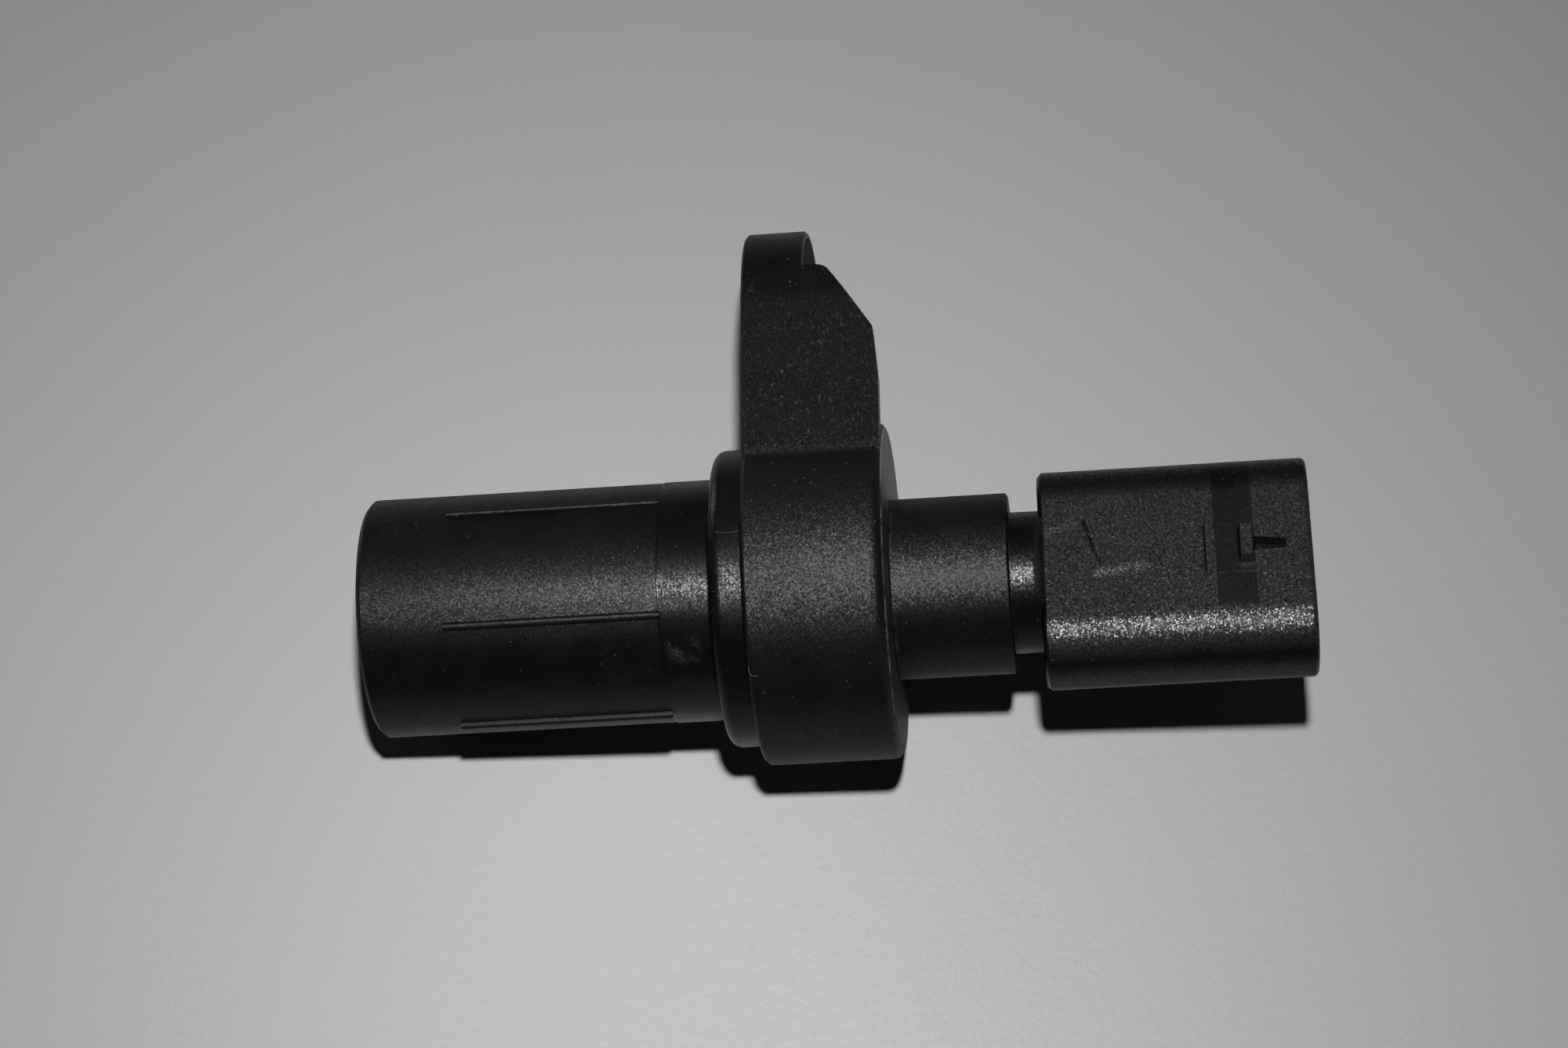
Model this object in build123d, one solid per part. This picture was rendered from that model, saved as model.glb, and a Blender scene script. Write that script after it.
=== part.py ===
from build123d import *
import os

# All sizes are in millimetres. X runs along the sensor from the sensing tip (minus) to the plug end (plus), and
# x = 0 is the face that seats on the engine. Y points to the fixing bolt, and Z to the side with the lock lug.

# Sensing head, which goes into the bore of the engine
head_radius = 9.0
head_length = 28.9
tip_chamfer = 0.4
land_radius = 9.05
land_length = 3.9
collar_radius = 11.15
collar_length = 2.6
collar_edge_radius = 0.9

# Raised ribs along the head, which keep the seal on its smooth land
rib_count = 6
rib_width = 0.62
rib_height = 0.25
rib_length = 15.9

# Flange hub and the necks behind it
hub_radius = 12.6
hub_length = 10.3
hub_seat_chamfer = 0.35
hub_rear_edge_radius = 0.75
neck_radius = 6.75
neck_end = 19.05
neck_chamfer = 0.2
waist_radius = 5.28

# Fixing ear, with one side wall beside the bolt head
bolt_distance = 19.2
ear_half_width = 10.6
ear_thickness = 4.6
ear_chamfer = 0.2
wall_thickness = 1.8
wall_height = 10.15
wall_reach = 22.7
wall_shoulder = 6.25
wall_tip_drop = 5.9
wall_set_back = 0.3
wall_lean = 3.8
wall_corner_radius = 1.2
wall_root_radius = 0.8
bush_radius = 5.3
bush_bore_radius = 3.3
bush_proud = 0.1
bush_bore_chamfer = 0.3

# Plug shroud
shroud_start = 21.25
shroud_end = 41.2
shroud_half_width = 8.35
shroud_half_height = 4.13
shroud_corner_radius = 3.65
shroud_mouth_radius = 0.45
shroud_back_chamfer = 0.35
shroud_wall = 1.25
socket_depth = 14.2
socket_edge_chamfer = 0.35

# Lock lug on the upper flat of the shroud
lug_start = 35.72
lug_base_length = 1.28
lug_draft = 0.22
lug_half_width = 1.28
lug_height = 1.35
lug_rib_end = 39.3
lug_rib_width = 0.6
lug_rib_high = 1.0
lug_rib_low = 0.35

# Flat strip terminals, from the weld pads in the head to the blades in the socket
strip_thickness = 0.8
blade_width = 2.8
blade_pitch = 4.5
blade_end = 35.6
blade_point = 0.6
blade_root = 24.2
strip_width = 1.5
strip_pitch = 2.4
strip_front = -8.0
tail_width = 0.9
tail_pitch = 1.27
tail_end = -18.6
strip_jog = 1.6

# Sensing parts inside the tip
tip_wall = 1.0
chip_thickness = 1.5
chip_width = 5.2
chip_height = 3.7
leg_width = 0.42
leg_thickness = 0.25
leg_rise = 3.6
leg_foot_start = -18.4
leg_foot_end = -16.6
magnet_radius = 2.9
magnet_length = 4.0
carrier_half_width = 4.2
carrier_top = 3.475
carrier_bottom = -3.6
carrier_head_end = -19.6
tray_end = -8.4
tray_half_width = 3.2
tray_bottom = -2.6
carrier_edge_radius = 0.6
capacitor_length = 1.25
capacitor_height = 0.9
capacitor_overlap = 0.35
capacitor_places = (-14.6, -12.0)

chip_front = tip_wall - head_length
chip_back = chip_front + chip_thickness
strip_top = strip_thickness / 2


def x_plane(x):
    """A drawing plane across the sensor at x, with its own x along Y and its own y along Z."""
    return Plane(origin=(x, 0, 0), x_dir=(0, 1, 0), z_dir=(1, 0, 0))


def turned_body():
    """Head, land, collar, hub, neck and waist as one turned form."""
    land_start = -collar_length - land_length
    corners = [
        (-head_length, 0),
        (-head_length, head_radius),
        (land_start, head_radius),
        (land_start, land_radius),
        (-collar_length, land_radius),
        (-collar_length, collar_radius),
        (0, collar_radius),
        (0, hub_radius),
        (hub_length, hub_radius),
        (hub_length, neck_radius),
        (neck_end, neck_radius),
        (neck_end, waist_radius),
        (shroud_start + shroud_back_chamfer, waist_radius),
        (shroud_start + shroud_back_chamfer, 0),
    ]
    profile = make_face(Polyline(corners, close=True))
    finished = [
        (fillet, (-collar_length, collar_radius), collar_edge_radius),
        (fillet, (hub_length, hub_radius), hub_rear_edge_radius),
        (chamfer, (-head_length, head_radius), tip_chamfer),
        (chamfer, (0, hub_radius), hub_seat_chamfer),
        (chamfer, (neck_end, neck_radius), neck_chamfer),
    ]
    for finish, (x, radius), size in finished:
        corner = profile.vertices().sort_by_distance((x, radius, 0))[0]
        profile = finish(corner, size)
    return revolve(profile, Axis.X)


def head_ribs():
    """Six thin raised ribs round the head, with a rounded end towards the tip."""
    rib_end = -collar_length - land_length
    flat = SlotOverall(rib_length, rib_width)
    slot = extrude(Plane.XY.offset(head_radius - rib_height) * flat, 2 * rib_height)
    square = Pos(rib_length / 4, 0, head_radius) * Box(rib_length / 2, rib_width, 2 * rib_height)
    rib = Pos(rib_end - rib_length / 2, 0, 0) * (slot + square)
    top = Rot(0, 90, 0) * Cylinder(head_radius + rib_height, 2 * head_length)
    rib = rib & top
    # One rib points along Y, to the ear, and the others follow at equal turns.
    return [Rot(90 + 360 / rib_count * i, 0, 0) * rib for i in range(rib_count)]


def ear_outline():
    """Parallel sides out of the hub and a full round end about the bolt."""
    sides = Pos(bolt_distance / 2, 0) * Rectangle(bolt_distance, 2 * ear_half_width)
    return sides + Pos(bolt_distance, 0) * Circle(ear_half_width)


def ear_plate():
    """Plate that the bolt clamps, with its outer edges just broken."""
    plate = extrude(x_plane(0) * ear_outline(), ear_thickness)
    rims = plate.faces().filter_by(Axis.X).edges()
    outer = [edge for edge in rims if edge.center().Y > hub_radius / 2]
    return chamfer(outer, ear_chamfer)


def ear_wall():
    """Wall beside the bolt head, flush with the flat side of the ear and cut back towards its tip."""
    inside = ear_thickness / 2
    root = hub_radius / 2
    corners = [
        (inside, root),
        (inside, wall_reach),
        (wall_shoulder, wall_reach),
        (wall_height - wall_set_back, wall_reach - wall_tip_drop),
        (wall_height, wall_reach - wall_tip_drop - wall_lean),
        (wall_height, root),
    ]
    side = make_face(Polyline(corners, close=True))
    shoulder = side.vertices().sort_by_distance((wall_shoulder, wall_reach, 0))[0]
    side = fillet(shoulder, wall_corner_radius)
    slab = extrude(Plane.XY.offset(ear_half_width - wall_thickness) * side, wall_thickness)
    return slab & extrude(x_plane(0) * ear_outline(), wall_height)


def wall_root():
    """Hollow fillet between the ear plate and the inner side of its wall."""
    reach = wall_reach - 2 * wall_corner_radius
    inner = ear_half_width - wall_thickness
    block = Pos(ear_thickness, hub_radius / 2, inner - wall_root_radius)
    block = block * Box(wall_root_radius, reach - hub_radius / 2, wall_root_radius, align=(Align.MIN,) * 3)
    core = Pos(ear_thickness + wall_root_radius, 0, inner - wall_root_radius)
    return block - core * Rot(90, 0, 0) * Cylinder(wall_root_radius, 4 * wall_reach)


def shroud_section(inset=0.0):
    """Flat-sided section of the plug shroud with large round corners, drawn smaller by inset."""
    width = 2 * (shroud_half_width - inset)
    height = 2 * (shroud_half_height - inset)
    return RectangleRounded(width, height, shroud_corner_radius - inset)


def shroud_shell():
    """Outer form of the plug shroud, with its mouth rounded and its back edge broken."""
    body = extrude(x_plane(shroud_start) * shroud_section(), shroud_end - shroud_start)
    body = fillet(body.faces().sort_by(Axis.X)[-1].edges(), shroud_mouth_radius)
    return chamfer(body.faces().sort_by(Axis.X)[0].edges(), shroud_back_chamfer)


def socket():
    """Hollow that takes the plug, with a lead-in round its mouth."""
    floor = shroud_end - socket_depth
    hollow = extrude(x_plane(floor) * shroud_section(shroud_wall), socket_depth)
    wide = x_plane(shroud_end) * shroud_section(shroud_wall - socket_edge_chamfer)
    lead_in = loft([x_plane(shroud_end - socket_edge_chamfer) * shroud_section(shroud_wall), wide])
    return hollow + lead_in


def lock_lug():
    """Cross bar that the plug's latch hooks behind, and the ramp rib that leads the latch up to it."""
    foot = shroud_half_height - shroud_mouth_radius
    top = shroud_half_height + lug_height
    bar_end = lug_start + lug_base_length
    bar_corners = [
        (lug_start, foot),
        (lug_start, shroud_half_height),
        (lug_start + lug_draft, top),
        (bar_end - lug_draft, top),
        (bar_end, shroud_half_height),
        (bar_end, foot),
    ]
    bar = extrude(Plane.XZ * make_face(Polyline(bar_corners, close=True)), lug_half_width, both=True)
    ramp_corners = [
        (lug_start + lug_draft, foot),
        (lug_start + lug_draft, shroud_half_height + lug_rib_high),
        (bar_end, shroud_half_height + lug_rib_high),
        (lug_rib_end, shroud_half_height + lug_rib_low),
        (lug_rib_end, foot),
    ]
    ramp = extrude(Plane.XZ * make_face(Polyline(ramp_corners, close=True)), lug_rib_width / 2, both=True)
    nose = ramp.edges().filter_by(Axis.Z).sort_by(Axis.X)[-2:]
    return bar + fillet(nose, 0.9 * lug_rib_width / 2)


def terminal(side):
    """One stamped strip, side -1, 0 or 1 across the socket: tail, strip and pointed blade."""
    tail = side * tail_pitch
    strip = side * strip_pitch
    blade = side * blade_pitch
    half_tail = tail_width / 2
    half_strip = strip_width / 2
    half_blade = blade_width / 2
    right = [
        (tail_end, tail + half_tail),
        (strip_front - strip_jog, tail + half_tail),
        (strip_front, strip + half_strip),
        (blade_root - strip_jog, strip + half_strip),
        (blade_root, blade + half_blade),
        (blade_end - blade_point, blade + half_blade),
        (blade_end, blade + half_blade / 2),
    ]
    left = [
        (blade_end, blade - half_blade / 2),
        (blade_end - blade_point, blade - half_blade),
        (blade_root, blade - half_blade),
        (blade_root - strip_jog, strip - half_strip),
        (strip_front, strip - half_strip),
        (strip_front - strip_jog, tail - half_tail),
        (tail_end, tail - half_tail),
    ]
    pattern = make_face(Polyline(right + left, close=True))
    return extrude(Plane.XY * pattern, strip_thickness / 2, both=True)


def hall_chip():
    """Sensing chip that faces the tip, with three legs bent back over the carrier to the terminals."""
    middle = (chip_front + chip_back) / 2
    package = Pos(middle, 0, 0) * Box(chip_thickness, chip_width, chip_height)
    package = chamfer(package.faces().sort_by(Axis.X)[0].edges(), chip_thickness / 8)
    half = leg_thickness / 2
    bends = [
        (middle, chip_height / 2 - half),
        (middle, leg_rise),
        (leg_foot_start, leg_rise),
        (leg_foot_start, strip_top + half),
        (leg_foot_end, strip_top + half),
    ]
    outline = trace(Polyline(bends), leg_thickness)
    for side in (-1, 0, 1):
        place = Plane.XZ.offset(-side * tail_pitch)
        package += extrude(place * outline, leg_width / 2, both=True)
    return package


def bias_magnet():
    """Round magnet that stands behind the chip."""
    return Pos(chip_back + magnet_length / 2, 0, 0) * Rot(0, 90, 0) * Cylinder(magnet_radius, magnet_length)


def chip_carrier():
    """Moulded insert: a block that holds the magnet, and a tray that the terminals lie on."""
    head_size = carrier_head_end - chip_back
    block = Box(head_size, 2 * carrier_half_width, carrier_top - carrier_bottom, align=(Align.MIN, Align.CENTER, Align.MIN))
    block = Pos(chip_back, 0, carrier_bottom) * block
    block = fillet(block.edges().filter_by(Axis.X), carrier_edge_radius)
    tray_size = tray_end - carrier_head_end + carrier_edge_radius
    tray = Box(tray_size, 2 * tray_half_width, -strip_top - tray_bottom, align=(Align.MIN, Align.CENTER, Align.MIN))
    tray = Pos(carrier_head_end - carrier_edge_radius, 0, tray_bottom) * tray
    return block + tray - bias_magnet()


def capacitor(side, x):
    """Chip capacitor that bridges the middle terminal and the one on the given side."""
    width = tail_pitch + 2 * capacitor_overlap
    place = Pos(x, side * tail_pitch / 2, strip_top + capacitor_height / 2)
    return place * Box(capacitor_length, width, capacitor_height)


def compression_bush():
    """Metal sleeve that carries the bolt load through the plastic ear."""
    length = ear_thickness + bush_proud
    sleeve = extrude(x_plane(0) * Pos(bolt_distance, 0) * Circle(bush_radius), length)
    sleeve -= extrude(x_plane(0) * Pos(bolt_distance, 0) * Circle(bush_bore_radius), length)
    bore_rims = sleeve.edges().filter_by(GeomType.CIRCLE).filter_by(lambda edge: edge.radius < bush_radius)
    return chamfer(bore_rims, bush_bore_chamfer)


def inner_pieces():
    """All pieces that the housing is moulded round, by node name."""
    pieces = {
        "terminal_ground": terminal(-1),
        "terminal_signal": terminal(0),
        "terminal_supply": terminal(1),
        "hall_chip": hall_chip(),
        "bias_magnet": bias_magnet(),
        "chip_carrier": chip_carrier(),
        "compression_bush": compression_bush(),
    }
    for name, side, x in zip(("capacitor_signal", "capacitor_supply"), (-1, 1), capacitor_places):
        pieces[name] = capacitor(side, x)
    return pieces


def housing(pieces):
    """Black moulded housing in one piece, hollow only for the plug and for what is moulded in."""
    body = turned_body() + ear_plate() + ear_wall() + wall_root() + shroud_shell() + lock_lug()
    for rib in head_ribs():
        body += rib
    body -= extrude(x_plane(0) * Pos(bolt_distance, 0) * Circle(bush_radius), wall_height)
    body -= socket()
    for name, piece in pieces.items():
        if name != "compression_bush":
            body -= piece
    return body


os.makedirs("parts", exist_ok=True)
nodes = inner_pieces()
nodes["housing"] = housing(nodes)
for name, shape in nodes.items():
    export_step(shape, f"parts/{name}.step")
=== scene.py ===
import math

import bmesh
import bpy
from bpy.props import FloatProperty, FloatVectorProperty, IntProperty, PointerProperty
from mathutils import Matrix, Vector


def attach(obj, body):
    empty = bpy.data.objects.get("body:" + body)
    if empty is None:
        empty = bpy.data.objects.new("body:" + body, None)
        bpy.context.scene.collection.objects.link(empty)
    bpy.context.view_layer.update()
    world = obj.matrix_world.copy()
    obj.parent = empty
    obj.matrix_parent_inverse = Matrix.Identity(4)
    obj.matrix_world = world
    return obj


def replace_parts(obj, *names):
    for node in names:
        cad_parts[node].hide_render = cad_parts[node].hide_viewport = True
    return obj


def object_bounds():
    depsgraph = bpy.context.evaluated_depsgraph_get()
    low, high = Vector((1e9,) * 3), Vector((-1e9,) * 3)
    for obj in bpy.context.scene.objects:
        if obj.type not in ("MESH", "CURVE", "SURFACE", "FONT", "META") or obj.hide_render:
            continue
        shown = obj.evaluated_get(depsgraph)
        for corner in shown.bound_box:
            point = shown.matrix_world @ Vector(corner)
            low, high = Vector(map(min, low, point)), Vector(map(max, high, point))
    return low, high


bl_info = {
    "name": "Camshaft Sensor Look",
    "version": (1, 0, 0),
    "blender": (4, 5, 0),
    "location": "3D View > Sidebar > Sensor",
    "description": "Dresses the camshaft position sensor and sets it on a pale table",
    "category": "Object",
}

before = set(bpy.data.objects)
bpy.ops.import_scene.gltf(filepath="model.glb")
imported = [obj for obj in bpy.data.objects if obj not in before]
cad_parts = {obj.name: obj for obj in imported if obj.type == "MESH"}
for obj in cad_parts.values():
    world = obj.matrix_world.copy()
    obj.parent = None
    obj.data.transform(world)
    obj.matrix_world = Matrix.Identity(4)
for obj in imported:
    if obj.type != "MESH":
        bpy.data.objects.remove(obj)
cad_low, cad_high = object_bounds()
MM = 0.001


class SensorSizes(bpy.types.PropertyGroup):
    """Sizes of the moulded body that the looks depend on."""

    head_radius: FloatProperty(
        name="Head Radius", description="Radius of the sensing head", default=0.009, unit="LENGTH",
        precision=5)
    hub_radius: FloatProperty(
        name="Hub Radius", description="Radius of the flange hub", default=0.0126, unit="LENGTH",
        precision=5)
    ear_half_width: FloatProperty(
        name="Ear Half Width", description="Half the width of the fixing ear", default=0.0106, unit="LENGTH",
        precision=5)
    bolt_distance: FloatProperty(
        name="Bolt Distance", description="From the head's axis to the bolt", default=0.0192, unit="LENGTH",
        precision=5)
    rib_count: IntProperty(name="Rib Count", description="Ribs round the sensing head", default=6, min=1)
    rib_width: FloatProperty(
        name="Rib Width", description="Width of a rib at its foot", default=0.00076, unit="LENGTH",
        precision=5)
    rib_height: FloatProperty(
        name="Rib Height", description="How far a rib stands out", default=0.00028, unit="LENGTH",
        precision=5)
    rib_rounding: FloatProperty(
        name="Rib Rounding", description="Rounding along a rib's crest", default=0.00025, unit="LENGTH",
        precision=5)
    rib_start: FloatProperty(
        name="Rib Start", description="Where a rib starts, on the axis", default=-0.0224, unit="LENGTH",
        precision=5)
    rib_end: FloatProperty(
        name="Rib End", description="Where a rib meets the seal land", default=-0.00649, unit="LENGTH",
        precision=5)


class SensorColours(bpy.types.PropertyGroup):
    """Colours of the sensor and of its dirt."""

    plastic: FloatVectorProperty(
        name="Plastic", description="Black glass-filled plastic", subtype="COLOR",
        default=(0.0012, 0.0012, 0.0016))
    # Pale dust colour; doubled on the hub's back face, it is also a painted reflection of the table there.
    dust_and_reflection: FloatVectorProperty(
        name="Dust", description="Fine pale dust", subtype="COLOR", default=(0.078, 0.076, 0.069))
    # Grey bloom on the shroud's upper flat: partly real bloom and partly the main light's sheen painted into
    # the colour.
    bloom_and_sheen: FloatVectorProperty(
        name="Bloom", description="Grey bloom on the upper flat of the shroud", subtype="COLOR",
        default=(0.072, 0.075, 0.08))
    residue: FloatVectorProperty(
        name="Residue", description="Brown dirt in the corners", subtype="COLOR",
        default=(0.026, 0.022, 0.017))
    scuff: FloatVectorProperty(
        name="Scuff", description="Whitened scratches", subtype="COLOR", default=(0.13, 0.125, 0.115))
    plating: FloatVectorProperty(
        name="Plating", description="Tin on the terminals", subtype="COLOR", default=(0.50, 0.49, 0.46))
    zinc: FloatVectorProperty(
        name="Zinc", description="Zinc on the bush", subtype="COLOR", default=(0.42, 0.41, 0.39))
    chip: FloatVectorProperty(
        name="Chip", description="Epoxy of the Hall chip", subtype="COLOR", default=(0.02, 0.02, 0.022))
    carrier: FloatVectorProperty(
        name="Carrier", description="Plastic of the chip carrier", subtype="COLOR",
        default=(0.035, 0.035, 0.04))
    magnet: FloatVectorProperty(
        name="Magnet", description="Metal of the bias magnet", subtype="COLOR", default=(0.4, 0.4, 0.41))
    ceramic: FloatVectorProperty(
        name="Ceramic", description="Body of the capacitors", subtype="COLOR", default=(0.32, 0.21, 0.12))
    table: FloatVectorProperty(
        name="Table", description="Pale grey table", subtype="COLOR", default=(0.139, 0.141, 0.141))


class StageSettings(bpy.types.PropertyGroup):
    """Camera and lights of the stage."""

    lens: FloatProperty(name="Lens", description="Focal length in millimetres", default=84.34)
    camera_place: FloatVectorProperty(
        name="Camera Place", description="Where the camera stands", subtype="TRANSLATION", unit="LENGTH",
        default=(0.027834, -0.115435, 0.248927), precision=5)
    camera_aim: FloatVectorProperty(
        name="Camera Aim", description="Direction from the sensor to the camera", subtype="DIRECTION",
        default=(0.092961, -0.436613, 0.894833), precision=5)
    camera_roll: FloatProperty(
        name="Camera Roll", description="Turn of the picture", subtype="ANGLE", default=math.radians(3.378))
    key_place: FloatVectorProperty(
        name="Key Place", description="Where the main light stands", subtype="TRANSLATION", unit="LENGTH",
        default=(0.0445, -0.067, 0.332), precision=5)
    key_aim: FloatVectorProperty(
        name="Key Aim", description="Where the main light points", subtype="TRANSLATION", unit="LENGTH",
        default=(-0.012, -0.008, -0.012), precision=5)
    key_spread: FloatProperty(
        name="Key Spread", description="Width of its beam", subtype="ANGLE", default=math.radians(70))
    key_size: FloatProperty(
        name="Key Size", description="Width of the main light", default=0.016, unit="LENGTH")
    key_power: FloatProperty(name="Key Power", description="Main light in watts", default=0.45)
    fill_power: FloatProperty(name="Fill Power", description="Soft side light in watts", default=0.064)
    low_power: FloatProperty(
        name="Low Power", description="Low lamps that light the ends, in watts", default=0.5)
    sky: FloatProperty(name="Sky", description="Strength of the soft light all round", default=0.017)
    wall: FloatProperty(name="Wall", description="Brightness of the room behind the table", default=0.36)
    table_radius: FloatProperty(
        name="Table Radius", description="Radius of the round table", default=0.22, unit="LENGTH")


class Wire:
    """One output of a shader node, on which maths is written as plain expressions."""

    def __init__(self, finish, socket):
        self.finish = finish
        self.socket = socket

    def maths(self, operation, *values):
        return self.finish.node("ShaderNodeMath", {"operation": operation}, dict(enumerate(values)))

    def __add__(self, other):
        return self.maths("ADD", self, other)

    def __sub__(self, other):
        return self.maths("SUBTRACT", self, other)

    def __rsub__(self, other):
        return self.maths("SUBTRACT", other, self)

    def __mul__(self, other):
        return self.maths("MULTIPLY", self, other)

    def __truediv__(self, other):
        return self.maths("DIVIDE", self, other)

    def root(self):
        return self.maths("SQRT", self)

    def size(self):
        return self.maths("ABSOLUTE", self)

    def kept(self):
        """The value held between 0 and 1."""
        return self.finish.node("ShaderNodeClamp", {}, {0: self})

    def rise(self, low, high):
        """0 below low and 1 above high, with a smooth step between them."""
        values = {0: self, 1: low, 2: high, 3: 0.0, 4: 1.0}
        return self.finish.node("ShaderNodeMapRange", {"interpolation_type": "SMOOTHSTEP"}, values)

    def within(self, low, high, soft):
        """1 between low and high and 0 outside, with soft borders."""
        return self.rise(low - soft, low + soft) * (1 - self.rise(high - soft, high + soft))

    __radd__ = __add__
    __rmul__ = __mul__


class Finish:
    """A procedural finish, built on the Principled shader of a new material."""

    def __init__(self, name):
        self.material = bpy.data.materials.new(name)
        self.material.use_nodes = True
        self.tree = self.material.node_tree
        self.shader = self.tree.nodes["Principled BSDF"]
        self.place = self.node("ShaderNodeTexCoord", {}, {}, "Object")

    def node(self, kind, settings, values, output=0):
        """Adds one node: its settings first, then the numbers or wires of its sockets."""
        made = self.tree.nodes.new(kind)
        for key, value in settings.items():
            setattr(made, key, value)
        for key, value in values.items():
            self.feed(made.inputs[key], value)
        return Wire(self, made.outputs[output])

    def feed(self, socket, value):
        if isinstance(value, Wire):
            self.tree.links.new(value.socket, socket)
        else:
            socket.default_value = value

    def set(self, **values):
        """Feeds the shader's sockets; an underscore in a name stands for a space."""
        for key, value in values.items():
            self.feed(self.shader.inputs[key.replace("_", " ")], value)

    def axes(self):
        """Place on the sensor in millimetres: along the axis, towards the bolt, and up."""
        split = {"Vector": self.place}
        return [self.node("ShaderNodeSeparateXYZ", {}, split, axis) * 1000.0 for axis in "XYZ"]

    def facing(self):
        """The way the surface faces: along the axis, towards the bolt, and up."""
        split = {"Vector": self.node("ShaderNodeTexCoord", {}, {}, "Normal")}
        return [self.node("ShaderNodeSeparateXYZ", {}, split, axis) for axis in "XYZ"]

    def noise(self, size, detail=2.0, rough=0.5, stretch=(1.0, 1.0, 1.0)):
        """Soft noise from 0 to 1, with spots of the given size in millimetres."""
        scaled = self.node("ShaderNodeMapping", {}, {"Vector": self.place, "Scale": stretch})
        values = {"Vector": scaled, "Scale": 1000.0 / size, "Detail": detail, "Roughness": rough}
        return self.node("ShaderNodeTexNoise", {}, values, "Fac")

    def cells(self, size):
        """Distance from the middle of the nearest cell, and a number for that cell."""
        turned = self.node("ShaderNodeMapping", {}, {"Vector": self.place, "Rotation": (0.7, 0.4, 0.9)})
        values = {"Vector": turned, "Scale": 1000.0 / size}
        distance = self.node("ShaderNodeTexVoronoi", {}, values, "Distance")
        colour = Wire(self, distance.socket.node.outputs["Color"])
        return distance, self.node("ShaderNodeSeparateColor", {}, {0: colour}, "Red")

    def colours(self, amount, plain, other):
        """The plain colour where amount is 0 and the other one where it is 1."""
        values = {0: amount, 6: full(plain), 7: full(other)}
        return self.node("ShaderNodeMix", {"data_type": "RGBA"}, values, 2)

    def vectors(self, operation, *values):
        """One step of vector arithmetic."""
        return self.node("ShaderNodeVectorMath", {"operation": operation}, dict(enumerate(values)))

    def facets(self, size, tilt, tilt_along):
        """The surface's own normal, tipped in each small cell, as on a surface that glitters."""
        values = {"Vector": self.place, "Scale": 1000.0 / size}
        chance = self.node("ShaderNodeTexVoronoi", {}, values, "Color")
        lean = self.vectors("SUBTRACT", chance, (0.5, 0.5, 0.5))
        amount = self.node("ShaderNodeCombineXYZ", {}, {"X": tilt_along, "Y": tilt, "Z": tilt})
        lean = self.vectors("MULTIPLY", lean, amount)
        normal = self.node("ShaderNodeNewGeometry", {}, {}, "Normal")
        return self.vectors("NORMALIZE", self.vectors("ADD", normal, lean))

    def bump(self, height, depth, normal=None):
        """A bumped normal from a height of 0 to 1 that is depth millimetres deep."""
        values = {"Height": height, "Distance": depth * MM}
        if normal is not None:
            values["Normal"] = normal
        return self.node("ShaderNodeBump", {}, values, "Normal")


def full(colour):
    """A colour with its alpha; a wire is left as it is."""
    return colour if isinstance(colour, Wire) else (*colour, 1.0)


def tinted(colour, share):
    """A lighter or darker form of a colour."""
    return [share * part for part in colour]


def stroke(across, along, start, end, wander=0.0):
    """Distance in millimetres from a straight stroke that is drawn from start to end."""
    run_x, run_y = end[0] - start[0], end[1] - start[1]
    length = run_x * run_x + run_y * run_y
    share = (((across - start[0]) * run_x + (along - start[1]) * run_y) / length).kept()
    off_x = across - start[0] - share * run_x
    off_y = along - start[1] - share * run_y
    return (off_x * off_x + off_y * off_y).root() + wander


# Places on the moulding in millimetres along its axis, from the sensing head to the plug
LAND_FRONT = -6.5
LAND_BACK = -2.6
EAR_BACK = 4.6
HUB_BACK = 10.3
NECK_BACK = 19.05
SHROUD_FRONT = 21.25
FRAME_LINE = 33.35
BAND_FRONT = 34.1
LUG_FRONT = 35.6
LUG_BACK = 37.0
RAMP_BACK = 39.4

# Radius of the neck, height of the shroud's upper flat, and half widths on it, in millimetres
NECK_RADIUS = 6.75
FLAT_TOP = 4.13
FRAME_HALF = 2.0
LUG_HALF = 1.25
RAMP_HALF = 0.7

# Scars on the upper flat: start and end of each stroke, along the axis and towards the bolt
NICK = ((24.6, 2.85), (25.1, 0.8))
NICK_TAIL = ((25.1, 0.8), (25.75, -0.9))
SCRATCH = ((25.5, -1.5), (28.9, -1.0))
ARC = ((21.9, 2.1), (24.0, 2.6))


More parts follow.
